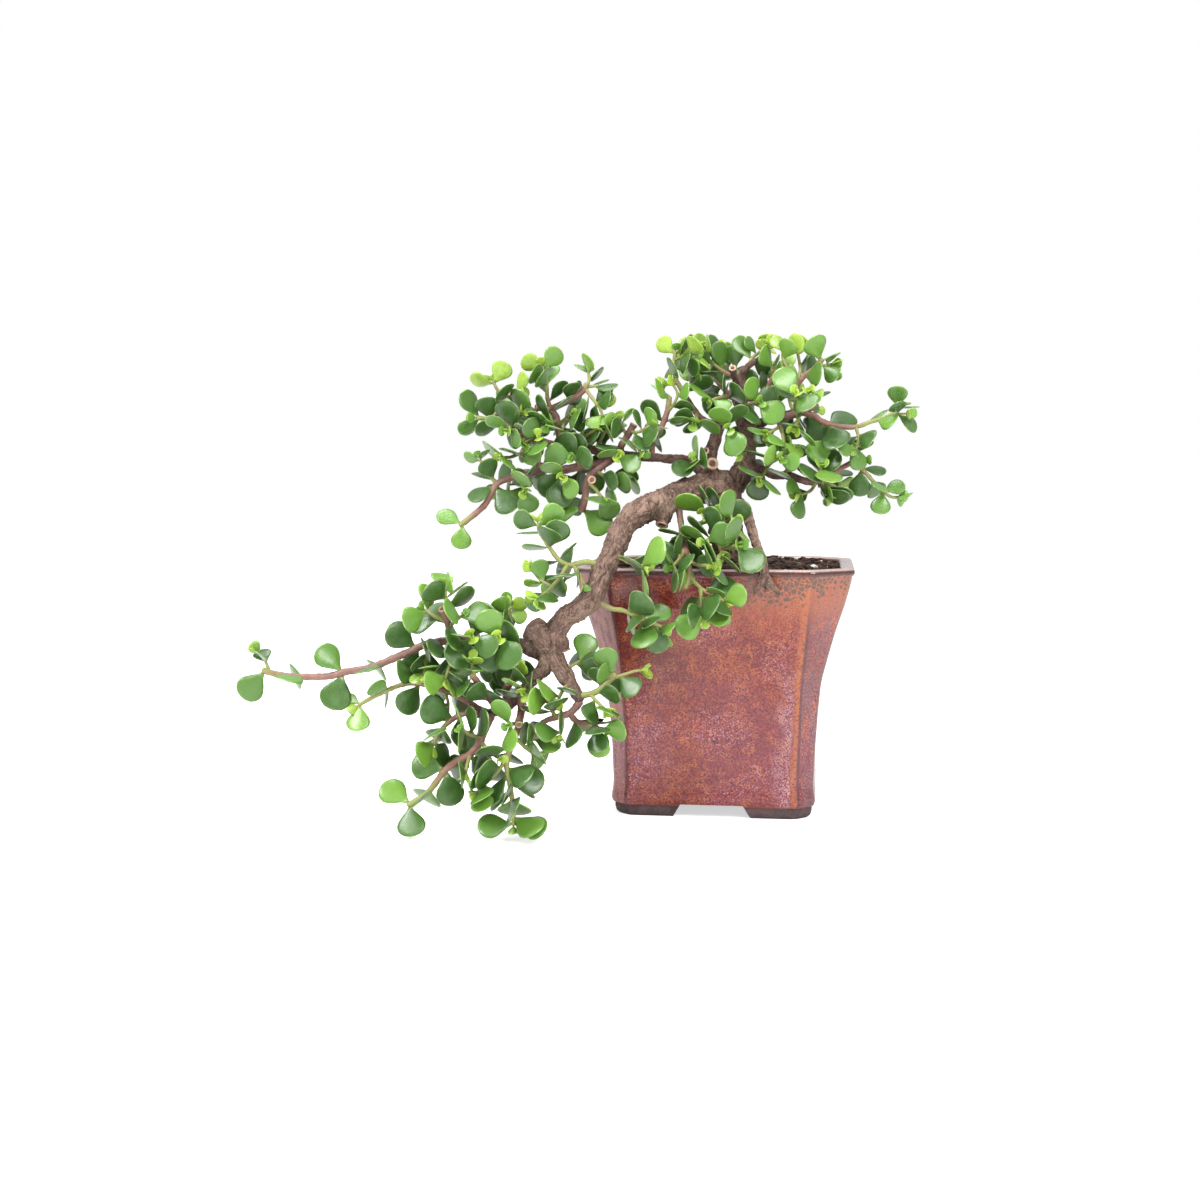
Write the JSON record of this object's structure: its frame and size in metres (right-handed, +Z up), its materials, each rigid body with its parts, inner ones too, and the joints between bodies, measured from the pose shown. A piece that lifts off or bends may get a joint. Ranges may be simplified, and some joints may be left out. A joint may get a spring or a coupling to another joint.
{
  "type": "dwarf jade bonsai in a square pot",
  "caption": "Small dwarf jade tree trained as a leaning cascade, planted in soil in a tall square flared pot with cut corners.",
  "frame": {"origin": "centre of the box round the whole plant and pot, at the level the pot's feet stand on", "axes": "+X along the sweep of the plant, from the tips of the cascade to the pot's far side; +Y away from the side where the branches hang forward; +Z up"},
  "size_m": [0.3718, 0.2322, 0.2818],
  "materials": {
    "glaze": "gloss glaze, brick red",
    "soil": "coarse bark and grit, matte",
    "bark": "rough grey-brown bark",
    "leaves": "fleshy green leaf, half gloss"
  },
  "bodies": {
    "root": {"branch_knee": "leaves", "branch_left_far": "leaves", "branch_left_lower": "leaves", "branch_left_upper": "leaves", "branch_low_bottom": "leaves", "branch_low_front": "leaves", "branch_low_left": "leaves", "branch_low_right": "leaves", "branch_low_second": "leaves", "branch_low_tip": "leaves", "branch_middle_a": "leaves", "branch_middle_b": "leaves", "branch_middle_c": "leaves", "branch_middle_d": "leaves", "branch_red_lower": "leaves", "branch_red_upper": "leaves", "branch_right_low": "leaves", "branch_right_mid": "leaves", "branch_right_up": "leaves", "branch_tall_left": "leaves", "pot": "glaze", "shoot_back_a": "leaves", "shoot_crown_a": "leaves", "shoot_crown_b": "leaves", "shoot_crown_c": "leaves", "shoot_crown_d": "leaves", "shoot_crown_e": "leaves", "shoot_crown_f": "leaves", "shoot_crown_g": "leaves", "shoot_front_a": "leaves", "shoot_front_b": "leaves", "shoot_front_c": "leaves", "shoot_left_a": "leaves", "shoot_left_b": "leaves", "shoot_left_c": "leaves", "shoot_left_d": "leaves", "shoot_left_e": "leaves", "shoot_left_g": "leaves", "shoot_low_a": "leaves", "shoot_low_b": "leaves", "shoot_low_c": "leaves", "shoot_low_d": "leaves", "shoot_low_e": "leaves", "shoot_low_f": "leaves", "shoot_low_h": "leaves", "shoot_low_i": "leaves", "shoot_low_j": "leaves", "shoot_low_k": "leaves", "shoot_low_l": "leaves", "shoot_low_m": "leaves", "shoot_low_n": "leaves", "shoot_right_a": "leaves", "shoot_right_b": "leaves", "shoot_right_c": "leaves", "soil": "soil", "trunk": "bark"}
  },
  "joints": []
}
